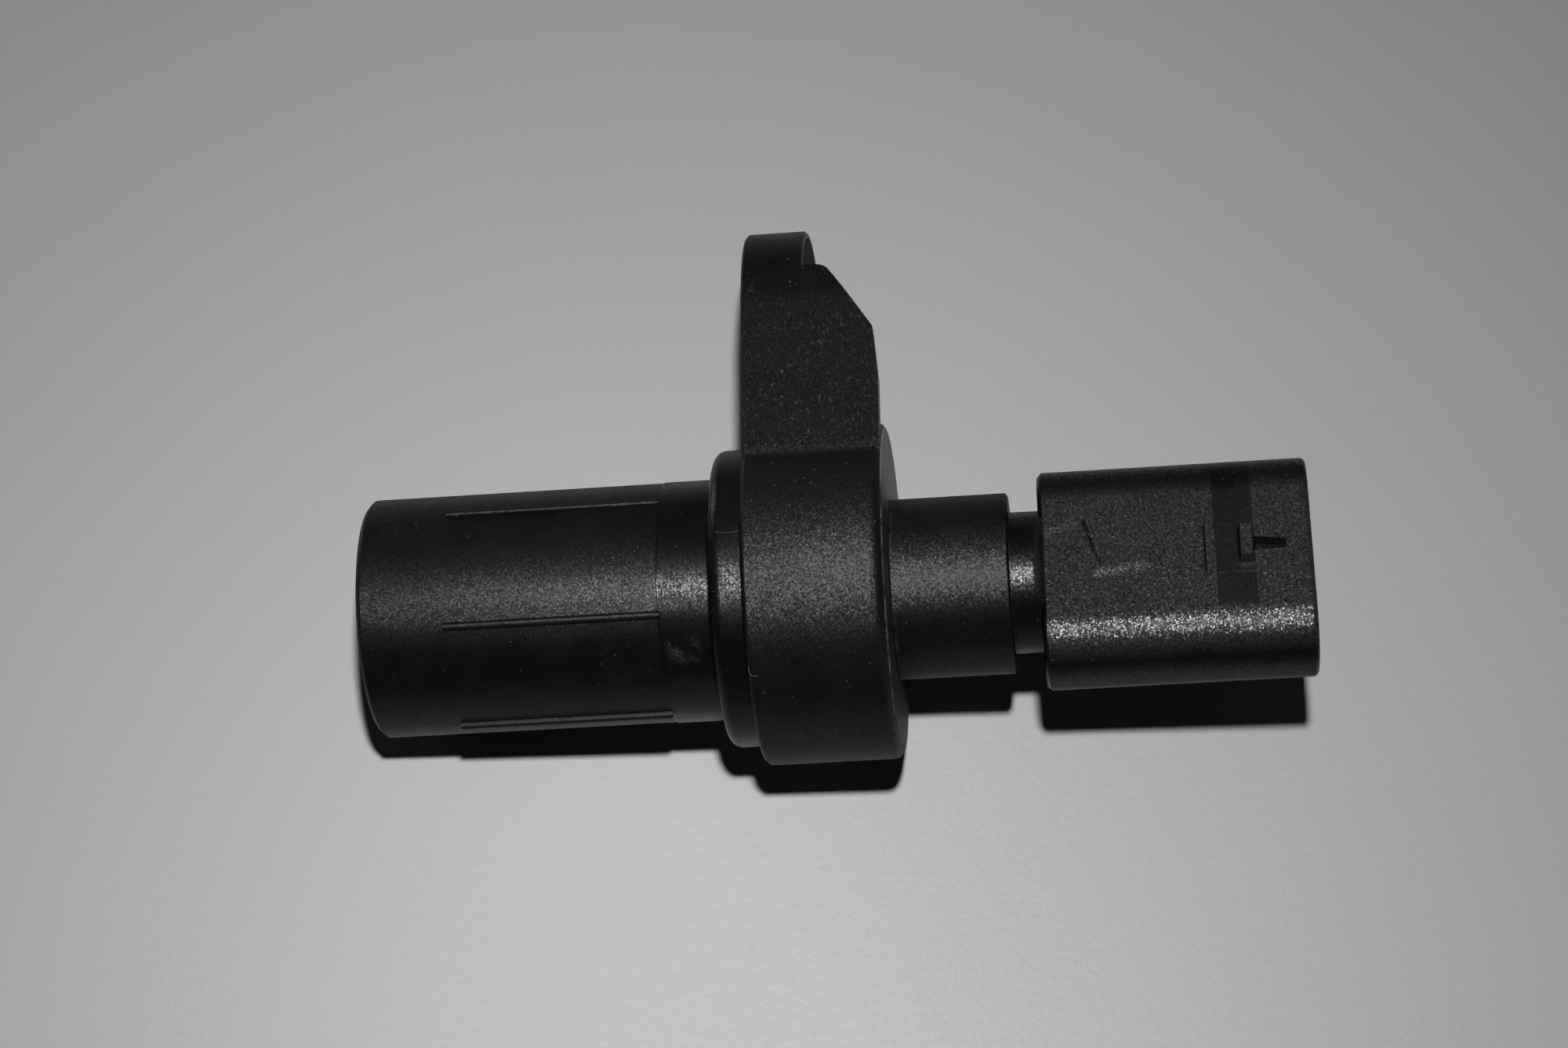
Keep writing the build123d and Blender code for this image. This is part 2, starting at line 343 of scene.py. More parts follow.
class Places:
    """Masks from 0 to 1 for the places on the moulding that have a look of their own."""

    def __init__(self, finish, sizes):
        self.hub_radius = sizes.hub_radius / MM
        self.x, self.y, self.z = finish.axes()
        self.radius = (self.y * self.y + self.z * self.z).root()
        self.patch = finish.noise(1.1, 4.0, 0.6)
        self.fine = finish.noise(0.11, 1.5, 0.55)
        self.grain = self.fine * 0.65 + finish.noise(0.24, 2.0, 0.6) * 0.35
        self.find_turned_parts()
        self.find_shroud_parts()
        self.find_flanks(finish, sizes)
        self.find_scars(finish)
        self.find_witness_lines()

    def find_turned_parts(self):
        """Head, seal land and collar, hub, necks and ear."""
        x, radius = self.x, self.radius
        on_axis = 1 - radius.rise(self.hub_radius + 0.1, self.hub_radius + 0.3)
        land = x.within(LAND_FRONT + 0.02, LAND_BACK - 0.02, 0.03)
        collar = x.within(LAND_BACK, -0.02, 0.03)
        self.on_shroud = x.rise(SHROUD_FRONT - 0.05, SHROUD_FRONT + 0.05)
        self.head = 1 - x.rise(LAND_FRONT - 0.1, LAND_FRONT)
        self.seal = (land + collar) * on_axis
        self.hub = x.within(0.0, HUB_BACK, 0.1) * on_axis
        past_neck = radius.rise(NECK_RADIUS + 0.05, NECK_RADIUS + 0.25) * (1 - self.on_shroud)
        self.hub_back = x.within(HUB_BACK - 0.1, HUB_BACK + 0.15, 0.04) * past_neck
        self.neck = x.within(HUB_BACK, NECK_BACK - 0.05, 0.1)
        self.waist = x.within(NECK_BACK + 0.05, SHROUD_FRONT - 0.05, 0.03)
        self.ear = radius.rise(self.hub_radius + 0.3, self.hub_radius + 1.0) * (1 - self.on_shroud)
        land_edge = x.within(LAND_FRONT - 0.08, LAND_FRONT + 0.06, 0.03)
        collar_foot = x.within(LAND_BACK - 0.25, LAND_BACK + 0.1, 0.06) * (1 - radius.rise(10.9, 11.1))
        self.joints = (land_edge + collar_foot).kept()

    def find_shroud_parts(self):
        """Lock lug with its ramp, the smooth band that it stands in, and the shroud's two ends."""
        x, y, z = self.x, self.y, self.z
        lug_width = 1 - y.size().rise(LUG_HALF - 0.01, LUG_HALF + 0.02)
        self.lug_top = z.rise(5.2, 5.35) * x.within(LUG_FRONT, LUG_BACK, 0.03) * lug_width
        ramp_width = 1 - y.size().rise(RAMP_HALF - 0.05, RAMP_HALF + 0.05)
        ramp = x.within(LUG_BACK - 0.1, RAMP_BACK, 0.05) * ramp_width
        ramp = ramp * z.rise(FLAT_TOP + 0.01, FLAT_TOP + 0.03)
        self.raised = (z.rise(FLAT_TOP + 0.07, FLAT_TOP + 0.17) * self.on_shroud + ramp).kept()
        along_band = x.within(BAND_FRONT, LUG_BACK - 0.05, 0.05)
        self.band = along_band * (1 - self.lug_top) * y.rise(-5.0, -4.2)
        self.back_edge = x.within(SHROUD_FRONT - 0.05, SHROUD_FRONT + 0.35, 0.04)
        along_end = x.within(NECK_BACK + 0.05, SHROUD_FRONT + 1.25, 0.05)
        self.waist_end = along_end * z.rise(FLAT_TOP + 0.01, FLAT_TOP + 0.07)
        self.flat = z.rise(FLAT_TOP - 0.18, FLAT_TOP - 0.08) * self.on_shroud

    def find_flanks(self, finish, sizes):
        """Flanks on either side, the under side, the sides of the ribs, and the back of the ear."""
        facing_end, facing_bolt, up = finish.facing()
        beside = 1 - facing_end.size().rise(0.3, 0.7)
        near = (1 - facing_bolt.rise(-0.3, 0.0)) * beside
        self.near_flank = up.within(0.3, 0.82 - self.on_shroud * 0.25, 0.1) * near
        self.far_flank = (1 - up.rise(0.42, 0.7)) * facing_bolt.rise(0.0, 0.3) * (1 - self.ear) * beside
        self.under = (1 - up.rise(0.0, 0.25)) * near
        head_radius = sizes.head_radius / MM
        turned_aside = (self.y.size() / self.radius).rise(0.4, 0.55)
        self.side_rib = self.head * self.radius.rise(head_radius + 0.03, head_radius + 0.06) * turned_aside
        end_radius = sizes.ear_half_width / MM
        past_bolt = self.y.maths("MAXIMUM", self.y - sizes.bolt_distance / MM, 0.0)
        from_bolt = (past_bolt * past_bolt + self.z * self.z).root()
        behind = self.x.within(EAR_BACK - 0.1, EAR_BACK + 0.1, 0.05) * self.ear
        self.ear_behind = behind * (1 - from_bolt.rise(end_radius - 0.6, end_radius - 0.5))

    def find_scars(self, finish):
        """Nick and scratches that prying has left on the shroud's upper flat."""
        x, y = self.x, self.y
        wobble = (self.patch - 0.5) * 0.3
        deep = 1 - stroke(x, y, *NICK, wobble * 0.7).rise(0.0, 0.28)
        shallow = 1 - stroke(x, y, *NICK_TAIL, wobble * 0.7).rise(0.02, 0.18)
        scratch = 1 - stroke(x, y, *SCRATCH, wobble * 2.0).rise(0.0, 0.55)
        arc = 1 - stroke(x, y, *ARC, wobble * 1.6).rise(0.03, 0.4)
        streaks = finish.noise(0.1, 2.0, 0.6, (0.6, 1.3, 1.0)).rise(0.48, 0.64)
        # The nick's mask also lays painted shade into the colour.
        self.nicks_and_shade = (deep + shallow * 0.6).kept() * self.flat * self.patch.rise(0.3, 0.5) * 0.65
        self.scuffs = (scratch + arc * 0.4).kept() * self.flat * streaks

    def find_witness_lines(self):
        """Lines that the mould's insert has left round the lock lug."""
        x, y = self.x, self.y
        within_frame = 1 - y.size().rise(FRAME_HALF - 0.2, FRAME_HALF + 0.1)
        self.witness = (1 - (x - FRAME_LINE).size().rise(0.04, 0.11)) * within_frame * self.flat
        self.pale_strip = x.within(FRAME_LINE + 0.1, BAND_FRONT, 0.04) * within_frame * self.flat
        self.dark = (self.nicks_and_shade + self.witness).kept()
        from_side = (y.size() - FRAME_HALF).size()
        sides = (1 - from_side.rise(0.02, 0.08)) * x.within(FRAME_LINE, LUG_BACK, 0.05)
        sides = sides * (1 - y.rise(0.0, 1.0) * 0.8) * self.flat
        broken = self.patch.rise(0.42, 0.6) * self.fine.rise(0.3, 0.6)
        self.scuffs = (self.scuffs + sides * broken * 0.2).kept()


def moulded_surface(finish, at):
    """Spark-eroded grain with smoother working faces. Glass fibres near the surface make it glitter."""
    smooth = (at.seal + at.waist + at.band + at.raised * (1 - at.lug_top)).kept()
    depth = (1 - smooth * 0.85) * (1 - at.ear * 0.6) * (1 - at.head * 0.5) * (0.8 + at.on_shroud * 0.2)
    relief = at.grain * depth - at.witness * 0.7 - at.nicks_and_shade * 2.0

    # Slopes that are too slight for the solid: lug, rear edge of the hub, and end of the waist.
    relief = relief + at.lug_top * at.x.rise(LUG_FRONT + 0.02, LUG_FRONT + 0.4) * 16.0
    relief = relief - at.hub * (1 - at.y.rise(2.0, 7.2)) * at.x.rise(HUB_BACK - 1.3, HUB_BACK + 0.1) * 26.0
    relief = relief + at.waist_end * at.x.rise(SHROUD_FRONT - 0.55, SHROUD_FRONT + 0.65) * 30.0

    glitter = 0.34 - at.head * 0.16 - at.seal * 0.26 - at.waist * 0.14 - at.ear * 0.15 - at.band * 0.23
    calm = at.back_edge * 0.8 + at.pale_strip * 0.35 + at.joints * 0.9 + at.dark * 0.95
    calm = (calm + at.raised * 0.9 - at.lug_top * 0.9).kept()
    glitter = glitter * (1 - calm) * (1 - (at.near_flank + at.far_flank + at.under) * 0.5)
    along = glitter + at.seal * 0.11
    return finish.bump(relief, 0.012, finish.facets(0.1, glitter, along))


def pale_dirt(finish, at, cloud):
    """Pale specks everywhere, more of them on the ear, dust on the hub's rim and a smear on the land."""
    distance, lot = finish.cells(0.85)
    specks = (1 - distance.rise(0.035, 0.1)) * lot.rise(0.58, 0.63)
    distance, lot = finish.cells(0.43)
    dots = (1 - distance.rise(0.06, 0.14)) * lot.rise(0.88, 0.9)
    rim = at.hub_back * at.radius.within(at.hub_radius - 0.85, at.hub_radius - 0.3, 0.1)
    rim = rim * at.patch.rise(0.4, 0.6) * at.fine.rise(0.4, 0.6)
    near_side = (at.y / at.radius).within(-0.8, -0.62, 0.05) * at.z.rise(0.0, 1.0)
    smear = at.x.within(LAND_FRONT + 0.5, LAND_BACK - 1.2, 0.35) * near_side
    smear = smear * at.patch.rise(0.44, 0.66) * at.fine.rise(0.2, 0.75)
    fibres = finish.noise(0.22, 1.0, 0.5, (1.0, 0.5, 1.0)).rise(0.56, 0.74) * at.fine.rise(0.4, 0.62)
    fibres = fibres * at.ear * (1 - at.y.rise(16.0, 26.0)) * at.patch.rise(0.35, 0.65)
    pale = specks * (0.35 + at.ear * 0.35) + dots * (0.2 + at.ear * 0.2) + rim * 0.5
    return (pale + smear * 0.18 + fibres * 0.32 + cloud.rise(0.42, 0.75) * 0.006).kept()


def brown_dirt(at):
    """Brown dirt in the corner behind the hub."""
    by_neck = 1 - at.radius.rise(NECK_RADIUS + 0.85, NECK_RADIUS + 1.65)
    corner = at.x.within(HUB_BACK - 0.1, HUB_BACK + 0.3, 0.15) * by_neck
    return (corner * 0.35 + at.hub_back * 0.2) * at.patch.rise(0.38, 0.62) * at.fine.rise(0.35, 0.6)


def moulded_colour(finish, at, colours, cloud, pale, brown):
    """Black plastic with a grey bloom on the shroud that is partly painted sheen, caked dust behind the hub
    that is partly a painted reflection of the table, dirt, scuffs, and painted shade in the nick.
    """
    # Painted sheen: the bloom covers the upper flat that faces the main light and fades out towards its far
    # edge.
    upward = at.z.rise(2.0, FLAT_TOP - 0.08) * (1 - at.y.rise(4.2, 6.0) * 0.85)
    upward = upward * (1 - at.raised + at.lug_top)
    bloom_and_sheen = at.on_shroud * (1 - at.band) * upward * at.grain.rise(0.3, 0.7)
    bloom_and_sheen = bloom_and_sheen * (1 - at.back_edge) * (1 - at.dark)
    body = finish.colours(cloud.rise(0.3, 0.8) * 0.5, colours.plastic, tinted(colours.plastic, 1.6))
    greyed = finish.colours(bloom_and_sheen * (0.18 + at.pale_strip * 0.05), body, colours.bloom_and_sheen)
    dirty = finish.colours(brown, greyed, colours.residue)
    # Painted reflection: the pale dust on the hub's back face is much heavier on the bolt's side, where it
    # stands in for the table's reflection as well as for dust.
    dust_and_reflection = at.hub_back * (0.03 + at.y.rise(2.0, 7.0) * 0.65)
    caked_and_reflecting = finish.colours(dust_and_reflection, dirty, tinted(colours.dust_and_reflection, 2.0))
    worn = finish.colours(pale, caked_and_reflecting, colours.dust_and_reflection)
    marked = finish.colours(at.scuffs * 0.6, worn, colours.scuff)
    # Painted shade: the nick is painted darker than the plastic, where the gouge's wall shades it.
    return finish.colours(at.nicks_and_shade * 0.9, marked, tinted(colours.plastic, 0.3))


def moulded_roughness(at, pale, brown):
    """Smoother on working faces and the near flank, duller on the far flank, below and under dirt."""
    rough = 0.39 + at.hub * 0.08 + at.neck * 0.07 - at.seal * 0.08 - at.waist * 0.09
    rough = rough - at.on_shroud * 0.12 + at.band * 0.05 + (at.grain - 0.5) * 0.12 + at.patch * 0.04
    rough = rough - at.joints * 0.15 - at.dark * 0.1 - at.raised * (1 - at.lug_top) * 0.12
    rough = rough + at.side_rib * 0.15 - at.near_flank * 0.1 + at.far_flank * 0.2
    rough = rough + at.under * (0.06 + at.on_shroud * 0.1) + at.ear_behind * 0.6
    rough = rough + at.waist_end * at.x.rise(SHROUD_FRONT - 0.45, SHROUD_FRONT - 0.25) * 0.2
    return (rough + pale * 0.25 + brown * 0.2 + at.scuffs * 0.1).kept()


def housing_finish(sizes, colours):
    """Black glass-filled plastic with its dirt and scars."""
    finish = Finish("black_moulding")
    at = Places(finish, sizes)
    cloud = finish.noise(3.2, 3.0)
    pale = pale_dirt(finish, at, cloud)
    brown = brown_dirt(at)
    finish.set(Normal=moulded_surface(finish, at))
    finish.set(Base_Color=moulded_colour(finish, at, colours, cloud, pale, brown))
    finish.set(Roughness=moulded_roughness(at, pale, brown))
    finish.set(IOR=1.24)
    return finish.material


def plated_finish(name, colour, roughness, lines):
    """Plated sheet or turned metal with fine drawn lines and dull spots."""
    finish = Finish(name)
    drawn = finish.noise(0.5, 3.0, 0.6, lines)
    spots = finish.noise(0.8, 4.0, 0.6)
    dull = spots.rise(0.45, 0.75)
    finish.set(Base_Color=finish.colours(dull * 0.5, colour, tinted(colour, 0.55)))
    finish.set(Roughness=roughness + drawn * 0.14 + dull * 0.12)
    finish.set(Normal=finish.bump(drawn, 0.004))
    finish.set(Metallic=1.0)
    return finish.material


def moulded_finish(name, colour, roughness, spot):
    """Plain moulded or fired piece with slight mottling and a fine surface."""
    finish = Finish(name)
    cloud = finish.noise(spot, 3.0)
    grain = finish.noise(0.15, 2.0)
    finish.set(Base_Color=finish.colours(cloud.rise(0.35, 0.7), colour, tinted(colour, 1.5)))
    finish.set(Roughness=roughness + (grain - 0.5) * 0.2)
    finish.set(Normal=finish.bump(grain, 0.01))
    return finish.material


def lint_finish(colours):
    """Pale fibre of lint."""
    finish = Finish("lint")
    shade = finish.noise(0.3, 2.0)
    finish.set(Base_Color=finish.colours(shade, colours.dust_and_reflection, tinted(colours.dust_and_reflection, 0.4)))
    finish.set(Roughness=0.6 + shade * 0.1)
    return finish.material


def table_finish(colours):
    """Pale grey laminate with a faint pearly texture."""
    finish = Finish("table_top")
    pearl = finish.noise(0.6, 3.0, 0.6)
    cloud = finish.noise(14.0, 3.0)
    distance, lot = finish.cells(24.0)
    spot = (1 - distance.rise(0.006, 0.02)) * lot.rise(0.7, 0.72)
    plain = finish.colours(cloud, colours.table, tinted(colours.table, 1.03))
    finish.set(Base_Color=finish.colours(spot * 0.5, plain, tinted(colours.table, 0.35)))
    finish.set(Roughness=0.45 + pearl * 0.1)
    finish.set(Normal=finish.bump(pearl, 0.02))
    finish.set(IOR=1.35)
    return finish.material


def dressed(piece):
    """Puts a finished piece on the sensor."""
    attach(piece, "root")
    return piece


def new_piece(name, mesh, material):
    """A piece at the origin, with its place in its mesh."""
    mesh.name = name
    piece = bpy.data.objects.new(name, mesh)
    bpy.context.scene.collection.objects.link(piece)
    mesh.materials.clear()
    mesh.materials.append(material)
    return piece


def settled(piece):
    """Applies all modifiers of a piece to its mesh."""
    bpy.context.view_layer.update()
    shape = piece.evaluated_get(bpy.context.evaluated_depsgraph_get())
    mesh = bpy.data.meshes.new_from_object(shape)
    piece.modifiers.clear()
    piece.data = mesh
    return piece


def clean_copy(node):
    """The mesh of a CAD node with its loose triangles joined and flat faces made whole."""
    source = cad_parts[node].data
    shape = bmesh.new()
    shape.from_mesh(source)
    bmesh.ops.remove_doubles(shape, verts=shape.verts, dist=2e-7)
    bmesh.ops.dissolve_limit(shape, angle_limit=math.radians(0.2), verts=shape.verts, edges=shape.edges)
    points = [vertex.co.copy() for vertex in shape.verts]
    shape.verts.index_update()
    faces = [[vertex.index for vertex in face.verts] for face in shape.faces]
    shape.free()
    mesh = bpy.data.meshes.new(node)
    mesh.from_pydata(points, [], faces)
    return mesh


def sink_cad_ribs(mesh, sizes):
    """Lets the square ribs of the solid sink below the head, where the rounded ones take their place."""
    for vertex in mesh.vertices:
        place = vertex.co
        radius = math.hypot(place.y, place.z)
        on_head = sizes.rib_start - 2 * sizes.rib_width < place.x < sizes.rib_end + 0.5 * MM
        if on_head and radius > sizes.head_radius + 0.08 * MM:
            low = (sizes.head_radius - 0.02 * MM) / radius
            place.y *= low
            place.z *= low


class SENSOR_OT_housing(bpy.types.Operator):
    """Makes the black housing from the solid, with softly rounded moulded edges."""

    bl_idname = "sensor.housing"
    bl_label = "Housing"

    def execute(self, context):
        sizes = context.scene.sensor_sizes
        mesh = clean_copy("housing")
        sink_cad_ribs(mesh, sizes)
        material = housing_finish(sizes, context.scene.sensor_colours)
        piece = new_piece("sensor_housing", mesh, material)
        for face in mesh.polygons:
            face.use_smooth = True
        mesh.set_sharp_from_angle(angle=math.radians(50))
        even = piece.modifiers.new("even_normals", "WEIGHTED_NORMAL")
        even.keep_sharp = True
        settled(piece)
        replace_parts(dressed(piece), "housing")
        return {"FINISHED"}


class Tree:
    """Adds and links the nodes of a geometry tree."""

    def __init__(self, tree):
        self.tree = tree

    def add(self, kind, values=None, **settings):
        """Adds one node. A value is a number, or the node and output that feed the socket."""
        node = self.tree.nodes.new(kind)
        for key, value in settings.items():
            setattr(node, key, value)
        for key, value in (values or {}).items():
            if isinstance(value, tuple) and isinstance(value[0], bpy.types.Node):
                self.tree.links.new(value[0].outputs[value[1]], node.inputs[key])
            else:
                node.inputs[key].default_value = value
        return node

    def maths(self, operation, *values):
        """One step of arithmetic, as the pair of node and output that feeds the next."""
        return self.add("ShaderNodeMath", dict(enumerate(values)), operation=operation), 0

    def finish(self, instances, material):
        """Makes the instances real, gives them their material and sends them out."""
        real = self.add("GeometryNodeRealizeInstances", {"Geometry": (instances, 0)})
        coated = self.add("GeometryNodeSetMaterial", {"Geometry": (real, 0), "Material": material})
        out = self.add("NodeGroupOutput")
        self.tree.links.new(coated.outputs[0], out.inputs[0])


def rib_tree(material):
    """Geometry nodes for half-round ribs set at equal turns about the sensor's axis."""
    tree = bpy.data.node_groups.new("head_ribs", "GeometryNodeTree")
    face = tree.interface
    face.new_socket("Count", in_out="INPUT", socket_type="NodeSocketInt")
    for name in ("Start", "End", "Width", "Height", "Radius", "Rounding"):
        face.new_socket(name, in_out="INPUT", socket_type="NodeSocketFloat")
    face.new_socket("Geometry", in_out="OUTPUT", socket_type="NodeSocketGeometry")
    made = Tree(tree)
    given = made.add("NodeGroupInput")
    first = made.add("ShaderNodeCombineXYZ", {"X": (given, "Start"), "Z": (given, "Radius")})
    last = made.add("ShaderNodeCombineXYZ", {"X": (given, "End"), "Z": (given, "Radius")})
    line = made.add("GeometryNodeCurvePrimitiveLine", {"Start": (first, 0), "End": (last, 0)})
    fine = made.add("GeometryNodeResampleCurve", {"Curve": (line, 0), "Count": 64})
    share = made.add("GeometryNodeSplineParameter")
    nose = made.add("ShaderNodeMapRange", {0: (share, "Length"), 1: 0.0, 2: 0.0003, 3: 0.0, 4: 1.0})
    back = made.maths("SUBTRACT", 1.0, (nose, 0))
    bow = made.maths("SQRT", made.maths("SUBTRACT", 1.0001, made.maths("MULTIPLY", back, back)))
    curve = made.add("GeometryNodeSetCurveRadius", {"Curve": (fine, 0), "Radius": bow})
    tall = made.maths("MULTIPLY", (given, "Height"), 2.0)
    slab = made.add("GeometryNodeCurvePrimitiveQuadrilateral", {"Width": tall, "Height": (given, "Width")})
    corners = {"Curve": (slab, 0), "Radius": (given, "Rounding"), "Count": 5}
    section = made.add("GeometryNodeFilletCurve", corners, mode="POLY")
    swept = {"Curve": (curve, 0), "Profile Curve": (section, 0), "Fill Caps": True}
    rib = made.add("GeometryNodeCurveToMesh", swept)
    soft = made.add("GeometryNodeSetShadeSmooth", {"Geometry": (rib, 0)})
    spots = made.add("GeometryNodeMeshLine", {"Count": (given, "Count"), "Offset": (0.0, 0.0, 0.0)})
    step = made.maths("DIVIDE", 2 * math.pi, (given, "Count"))
    turn = made.maths("MULTIPLY", made.maths("ADD", (made.add("GeometryNodeInputIndex"), 0), 0.5), step)
    spin = made.add("ShaderNodeCombineXYZ", {"X": turn})
    copies = {"Points": (spots, 0), "Instance": (soft, 0), "Rotation": (spin, 0)}
    made.finish(made.add("GeometryNodeInstanceOnPoints", copies), material)
    return tree


def grown(name, tree, material, **values):
    """A plain mesh piece from a geometry tree and its named inputs."""
    piece = new_piece(name, bpy.data.meshes.new(name), material)
    grow = piece.modifiers.new(name, "NODES")
    grow.node_group = tree
    for item in tree.interface.items_tree:
        if item.in_out == "INPUT" and item.name in values:
            grow[item.identifier] = values[item.name]
    return settled(piece)


class SENSOR_OT_ribs(bpy.types.Operator):
    """Makes the rounded ribs round the sensing head."""

    bl_idname = "sensor.ribs"
    bl_label = "Head Ribs"

    def execute(self, context):
        sizes = context.scene.sensor_sizes
        material = bpy.data.materials["black_moulding"]
        piece = grown(
            "head_ribs", rib_tree(material), material, Count=sizes.rib_count, Start=sizes.rib_start,
            End=sizes.rib_end, Width=sizes.rib_width, Height=sizes.rib_height, Radius=sizes.head_radius,
            Rounding=sizes.rib_rounding)
        if len(piece.data.polygons) == 0:
            raise RuntimeError("the ribs came out empty")
        dressed(piece)
        return {"FINISHED"}


class SENSOR_OT_metal(bpy.types.Operator):
    """Gives the terminals and the bush their plated finishes."""

    bl_idname = "sensor.metal"
    bl_label = "Terminals and Bush"

    def execute(self, context):
        colours = context.scene.sensor_colours
        tin = plated_finish("tin_plate", colours.plating, 0.24, (0.15, 4.0, 1.0))
        zinc = plated_finish("zinc_plate", colours.zinc, 0.34, (4.0, 0.6, 0.6))
        for node in ("terminal_ground", "terminal_signal", "terminal_supply"):
            paint(node, tin)
        paint("compression_bush", zinc)
        return {"FINISHED"}


def paint(node, material):
    """Gives a CAD node its finish and leaves its mesh alone."""
    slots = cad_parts[node].material_slots
    if not slots:
        raise RuntimeError(f"{node} has no material slot")
    for slot in slots:
        slot.material = material


class SENSOR_OT_inside(bpy.types.Operator):
    """Gives the pieces inside the head their finishes."""

    bl_idname = "sensor.inside"
    bl_label = "Inner Pieces"

    def execute(self, context):
        colours = context.scene.sensor_colours
        paint("hall_chip", moulded_finish("chip_epoxy", colours.chip, 0.4, 0.6))
        paint("chip_carrier", moulded_finish("carrier_plastic", colours.carrier, 0.5, 1.5))
        paint("bias_magnet", plated_finish("magnet_metal", colours.magnet, 0.45, (1.0, 1.0, 1.0)))
        fired = moulded_finish("capacitor_ceramic", colours.ceramic, 0.55, 0.3)
        for node in ("capacitor_signal", "capacitor_supply"):
            paint(node, fired)
        return {"FINISHED"}


def fibre(name, points, thickness, material):
    """A thin curved fibre through a few points, given in millimetres."""
    line = bpy.data.curves.new(name, "CURVE")
    line.dimensions = "3D"
    line.bevel_depth = thickness * MM / 2
    line.bevel_resolution = 1
    line.resolution_u = 6
    spline = line.splines.new("NURBS")
    spline.points.add(len(points) - 1)
    for point, place in zip(spline.points, points):
        point.co = (*[value * MM for value in place], 1.0)
    spline.order_u = 3
    spline.use_endpoint_u = True
    drawn = bpy.data.objects.new(name, line)
    bpy.context.scene.collection.objects.link(drawn)
    bpy.context.view_layer.update()
    mesh = bpy.data.meshes.new_from_object(drawn.evaluated_get(bpy.context.evaluated_depsgraph_get()))
    bpy.data.objects.remove(drawn)
    return new_piece(name, mesh, material)


def round_the_axis(x, angle, radius):
    """A point at an angle from the bolt's side towards the lug's side, in millimetres."""
    turn = math.radians(angle)
    return (x, radius * math.cos(turn), radius * math.sin(turn))


class SENSOR_OT_lint(bpy.types.Operator):
    """Lays the lint that clings to the collar and the hub."""

    bl_idname = "sensor.lint"
    bl_label = "Lint"

    def execute(self, context):
        material = lint_finish(context.scene.sensor_colours)
        hair = [round_the_axis(-1.9, 88.6, 11.17), round_the_axis(-1.2, 89.4, 11.2),
                round_the_axis(-0.6, 89.2, 11.2), round_the_axis(-0.05, 88.8, 11.2)]
        curl = [round_the_axis(0.15, 137.6, 12.62), round_the_axis(0.1, 139.6, 12.66),
                round_the_axis(0.35, 141.6, 12.66), round_the_axis(0.75, 141.0, 12.64)]
        dressed(fibre("collar_hair", hair, 0.016, material))
        dressed(fibre("hub_curl", curl, 0.026, material))
        return {"FINISHED"}


def table_plane(sizes):
    """The table's upward normal and its distance, with the sensor lying on its tip, hub and ear."""
    down_at_tip = (sizes.hub_radius - sizes.head_radius) / -cad_low.x
    down_at_ear = (sizes.hub_radius - sizes.ear_half_width) / sizes.bolt_distance
    normal = Vector((down_at_tip, -down_at_ear, 1.0))
    normal.z = math.sqrt(1 - down_at_ear ** 2)
    reach = math.hypot(normal.y, normal.z)
    return normal.normalized(), -sizes.hub_radius * reach / normal.length


def lamp(name, place, aim, power, width, spread=math.pi):
    """A round soft lamp that shines from its place towards a point."""
    light = bpy.data.lights.new(name, "AREA")
    light.shape = "DISK"
    light.size = width
    light.spread = spread
    light.energy = power
    stand = bpy.data.objects.new(name, light)
    stand.location = place
    stand.rotation_euler = (Vector(aim) - Vector(place)).to_track_quat("-Z", "Y").to_euler()
    bpy.context.scene.collection.objects.link(stand)


def pale_room(tree, strength, brightness):
    """A dim room that a camera looking past the table sees as a pale wall."""
    light = tree.nodes["Background"]
    light.inputs["Color"].default_value = (0.9, 0.95, 1.0, 1.0)
    light.inputs["Strength"].default_value = strength
    wall = tree.nodes.new("ShaderNodeBackground")
    wall.inputs["Color"].default_value = (0.98, 1.0, 1.0, 1.0)
    wall.inputs["Strength"].default_value = brightness
    ray = tree.nodes.new("ShaderNodeLightPath")
    either = tree.nodes.new("ShaderNodeMixShader")
    tree.links.new(ray.outputs["Is Camera Ray"], either.inputs["Fac"])
    tree.links.new(light.outputs["Background"], either.inputs[1])
    tree.links.new(wall.outputs["Background"], either.inputs[2])
    tree.links.new(either.outputs["Shader"], tree.nodes["World Output"].inputs["Surface"])


def lay_table(scene):
    """A round table top on which the sensor lies."""
    normal, distance = table_plane(scene.sensor_sizes)
    turn = normal.to_track_quat("Z", "Y").to_matrix().to_4x4()
    flat = bmesh.new()
    bmesh.ops.create_circle(flat, cap_ends=True, segments=64, radius=scene.sensor_stage.table_radius)
    flat.transform(Matrix.Translation(normal * distance) @ turn)
    mesh = bpy.data.meshes.new("table")
    flat.to_mesh(mesh)
    flat.free()
    new_piece("table", mesh, table_finish(scene.sensor_colours))


def set_lights(scene):
    """A narrow main light, soft lamps on two sides, low ones for the two ends, and the room."""
    stage = scene.sensor_stage
    lamp("key_lamp", stage.key_place, stage.key_aim, stage.key_power, stage.key_size, stage.key_spread)
    middle = (0.006, 0.004, 0.0)
    for name, place, power, width in (
            ("side_lamp", (-0.5, -0.1, 0.45), stage.fill_power, 0.5),
            ("back_lamp", (0.35, 0.5, 0.4), 0.5 * stage.fill_power, 0.5),
            ("low_back_lamp", (-0.36, 0.4, 0.09), stage.low_power, 0.2),
            ("low_front_lamp", (0.5, -0.3, 0.06), 0.2 * stage.low_power, 0.16)):
        lamp(name, place, middle, power, width)
    world = bpy.data.worlds.new("soft_room")
    world.use_nodes = True
    pale_room(world.node_tree, stage.sky, stage.wall)
    scene.world = world
    scene.view_settings.view_transform = "Standard"


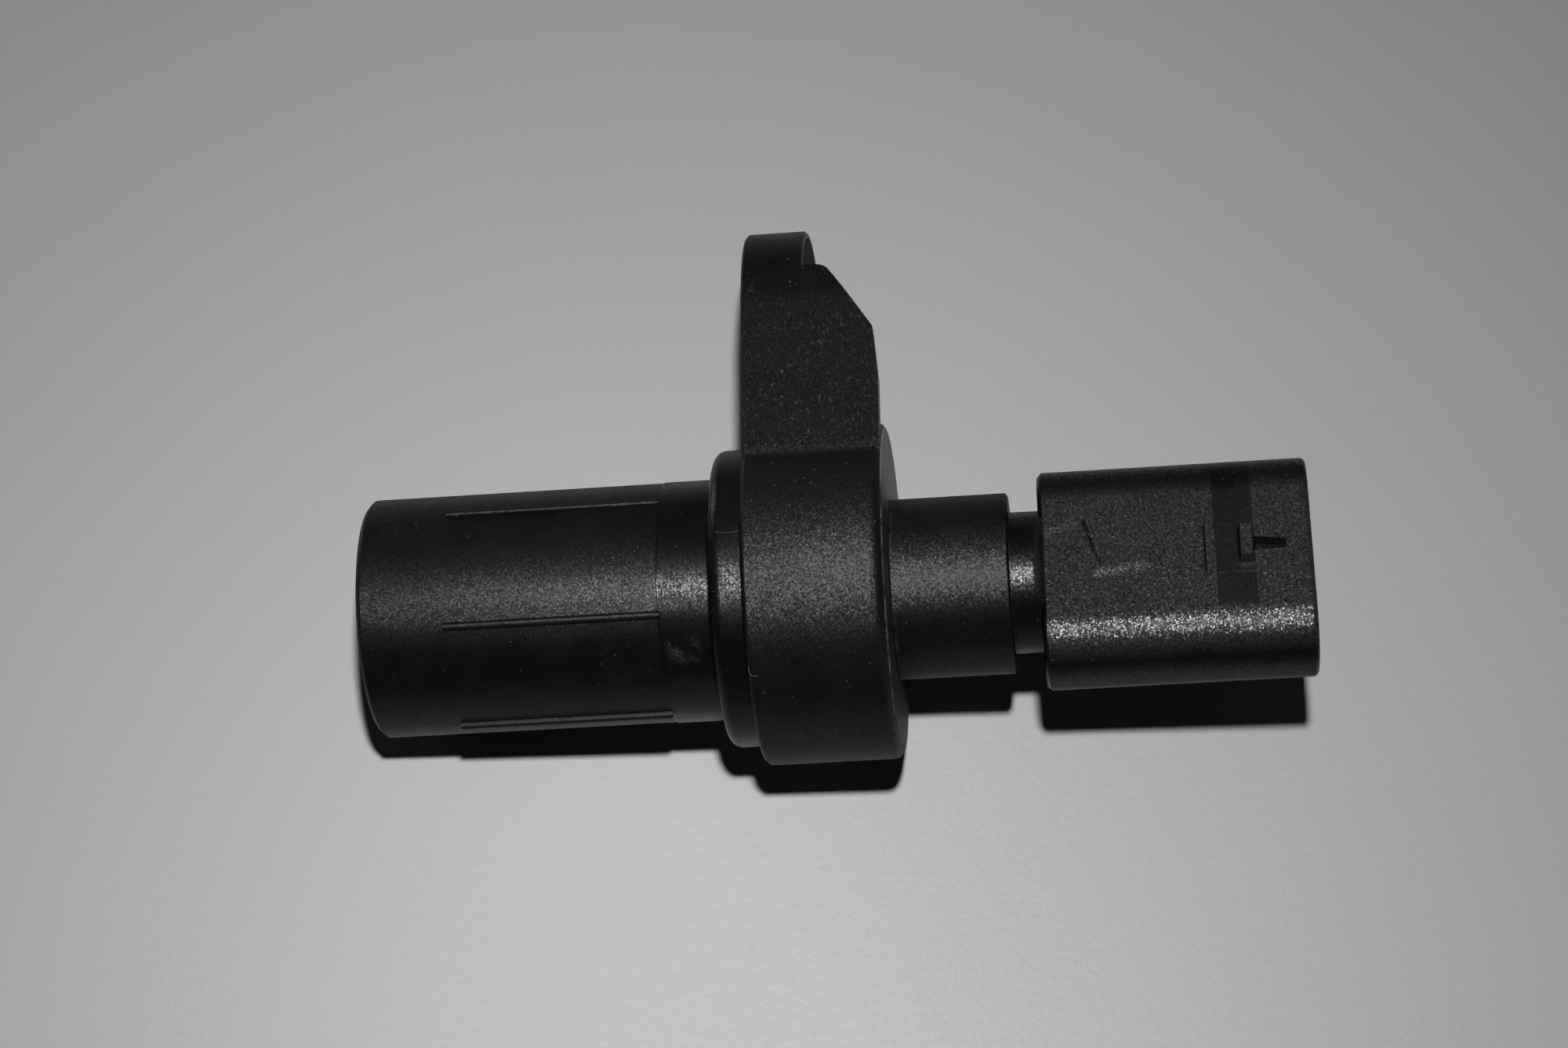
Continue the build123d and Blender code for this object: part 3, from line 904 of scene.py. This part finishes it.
def set_camera(scene):
    """The camera that was fitted to the photo."""
    stage = scene.sensor_stage
    back = Vector(stage.camera_aim).normalized()
    level = (Vector((1, 0, 0)) - back * back.x).normalized()
    upright = back.cross(level)
    side = level * math.cos(stage.camera_roll) - upright * math.sin(stage.camera_roll)
    top = level * math.sin(stage.camera_roll) + upright * math.cos(stage.camera_roll)
    shot = bpy.data.cameras.new("camera")
    shot.lens = stage.lens
    shot.sensor_width = 36.0
    shot.sensor_fit = "HORIZONTAL"
    shot.clip_start = 0.01
    camera = bpy.data.objects.new("camera", shot)
    turned = Matrix((side, top, back)).transposed().to_4x4()
    camera.matrix_world = Matrix.Translation(stage.camera_place) @ turned
    scene.collection.objects.link(camera)
    scene.camera = camera


class SENSOR_OT_stage(bpy.types.Operator):
    """Sets the table, the lights and the camera."""

    bl_idname = "sensor.stage"
    bl_label = "Stage"

    def execute(self, context):
        lay_table(context.scene)
        set_lights(context.scene)
        set_camera(context.scene)
        return {"FINISHED"}


class SENSOR_PT_look(bpy.types.Panel):
    """Lists the steps and the main settings."""

    bl_label = "Sensor"
    bl_space_type = "VIEW_3D"
    bl_region_type = "UI"
    bl_category = "Sensor"

    def draw(self, context):
        for step in STEPS:
            self.layout.operator(step.bl_idname)
        for settings in GROUPS:
            group = getattr(context.scene, settings)
            for name in group.bl_rna.properties.keys():
                if name not in ("rna_type", "name"):
                    self.layout.prop(group, name)


GROUPS = {"sensor_sizes": SensorSizes, "sensor_colours": SensorColours, "sensor_stage": StageSettings}
STEPS = (
    SENSOR_OT_stage, SENSOR_OT_housing, SENSOR_OT_ribs, SENSOR_OT_metal, SENSOR_OT_inside, SENSOR_OT_lint)


def register():
    for made in (*GROUPS.values(), *STEPS, SENSOR_PT_look):
        bpy.utils.register_class(made)
    for name, group in GROUPS.items():
        setattr(bpy.types.Scene, name, PointerProperty(type=group))


def unregister():
    for name in GROUPS:
        delattr(bpy.types.Scene, name)
    for made in reversed((*GROUPS.values(), *STEPS, SENSOR_PT_look)):
        bpy.utils.unregister_class(made)


def main():
    register()
    bpy.ops.sensor.stage()
    bpy.ops.sensor.housing()
    bpy.ops.sensor.ribs()
    bpy.ops.sensor.metal()
    bpy.ops.sensor.inside()
    bpy.ops.sensor.lint()


if __name__ == "__main__":
    main()
